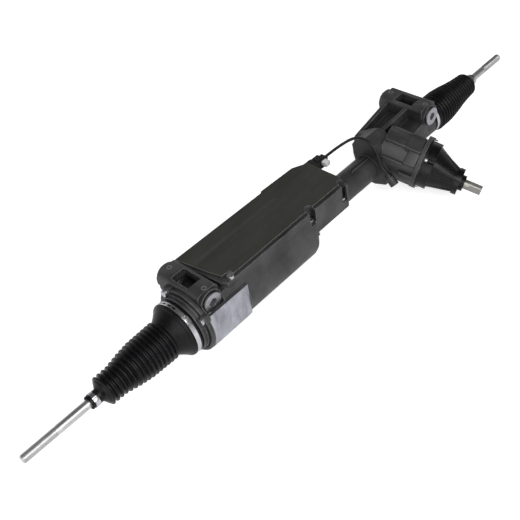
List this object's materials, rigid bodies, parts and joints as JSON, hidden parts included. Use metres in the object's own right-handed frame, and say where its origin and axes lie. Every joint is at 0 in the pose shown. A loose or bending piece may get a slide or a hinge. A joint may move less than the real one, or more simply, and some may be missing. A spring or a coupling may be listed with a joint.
{
  "type": "steering rack",
  "caption": "Electric power steering rack with a motor built round the rack bar, tie rods in bellows boots, and an inclined pinion input shaft",
  "frame": {"origin": "Middle of the left bracket's bolt bore, on its axis", "axes": "+X along the rack from the motor end to the pinion end, +Y along the bracket bolt away from the driver's side, +Z square to the controller lid"},
  "size_m": [1.202, 0.2563, 0.1288],
  "materials": {
    "board": "glass fibre board",
    "bronze": "plain bearing",
    "cast": "dark anodised or coated die casting, matt",
    "copper": "enamelled copper winding",
    "gloss": "moulded plastic, satin",
    "lamination": "stacked electrical steel",
    "lid_paint": "matt black-olive coating",
    "magnet": "plated magnet",
    "plastic": "moulded plastic",
    "rubber": "moulded rubber, satin",
    "stainless": "bright stainless band",
    "steel": "turned steel",
    "zinc": "zinc plated"
  },
  "bodies": {
    "housing": {"motor_housing": "cast", "end_cap": "cast", "end_cap_bolts": "zinc", "controller_lid": "lid_paint", "tray_bolts": "zinc", "controller_board": "board", "capacitors": "plastic", "stator_stack": "lamination", "stator_windings": "copper", "nut_bearing_outer_ring": "steel", "tail_bearing_outer_ring": "steel", "rack_housing": "cast", "rack_bush": "bronze", "rack_yoke": "bronze", "yoke_spring": "steel", "yoke_plug": "zinc", "needle_bearing": "steel", "pinion_bearing_outer_ring": "steel", "torque_sensor": "plastic", "pinion_cover": "gloss", "cover_screws": "zinc", "input_bearing": "steel", "shaft_seal": "rubber", "bush_sleeves": "zinc", "bush_rubbers": "rubber", "left_boot": "rubber", "right_boot": "rubber", "left_boot_clamp": "stainless", "right_boot_clamp": "stainless", "sensor_connector": "plastic", "harness_plug": "plastic", "vehicle_connectors": "plastic", "sensor_socket": "plastic", "sensor_harness": "rubber"},
    "rack": {"rack_bar": "steel", "left_ball_joint_housing": "steel", "right_ball_joint_housing": "steel"},
    "left_rod": {"left_tie_rod": "steel", "left_small_clamp": "stainless"},
    "right_rod": {"right_tie_rod": "steel", "right_small_clamp": "stainless"},
    "rotor": {"ball_nut": "steel", "rotor_sleeve": "steel", "rotor_magnets": "magnet", "nut_bearing_inner_ring": "steel", "tail_bearing_inner_ring": "steel"},
    "pinion_shaft": {"pinion": "steel", "torsion_bar": "steel", "input_shaft": "steel", "pinion_bearing_inner_ring": "steel", "sensor_magnet_ring": "magnet"}
  },
  "joints": [
    {"name": "rack_slide", "type": "slide", "parent": "housing", "child": "rack", "axis": [1, 0, 0], "range_m": [-0.075, 0.075], "deforming": ["left_boot", "right_boot"]},
    {"name": "rotor_spin", "type": "hinge", "parent": "housing", "child": "rotor", "pos_m": [0.05, -0.013, -0.042], "axis": [1, 0, 0], "range_deg": [-3900, 3900]},
    {"name": "pinion_spin", "type": "hinge", "parent": "housing", "child": "pinion_shaft", "pos_m": [0.466, -0.01752, -0.02624], "axis": [0.2672, -0.9263, -0.2656], "range_deg": [-480, 480]},
    {"name": "left_rod_swing", "type": "hinge", "parent": "rack", "child": "left_rod", "pos_m": [-0.119, -0.013, -0.042], "axis": [0, 0, 1], "range_deg": [-15, 15]},
    {"name": "right_rod_swing", "type": "hinge", "parent": "rack", "child": "right_rod", "pos_m": [0.653, -0.013, -0.042], "axis": [0, 0, 1], "range_deg": [-15, 15]}
  ],
  "couplings": [
    {"joint": "rotor_spin", "follows": "rack_slide", "rad_per_m": 897.6},
    {"joint": "pinion_spin", "follows": "rack_slide", "rad_per_m": 107.07}
  ]
}
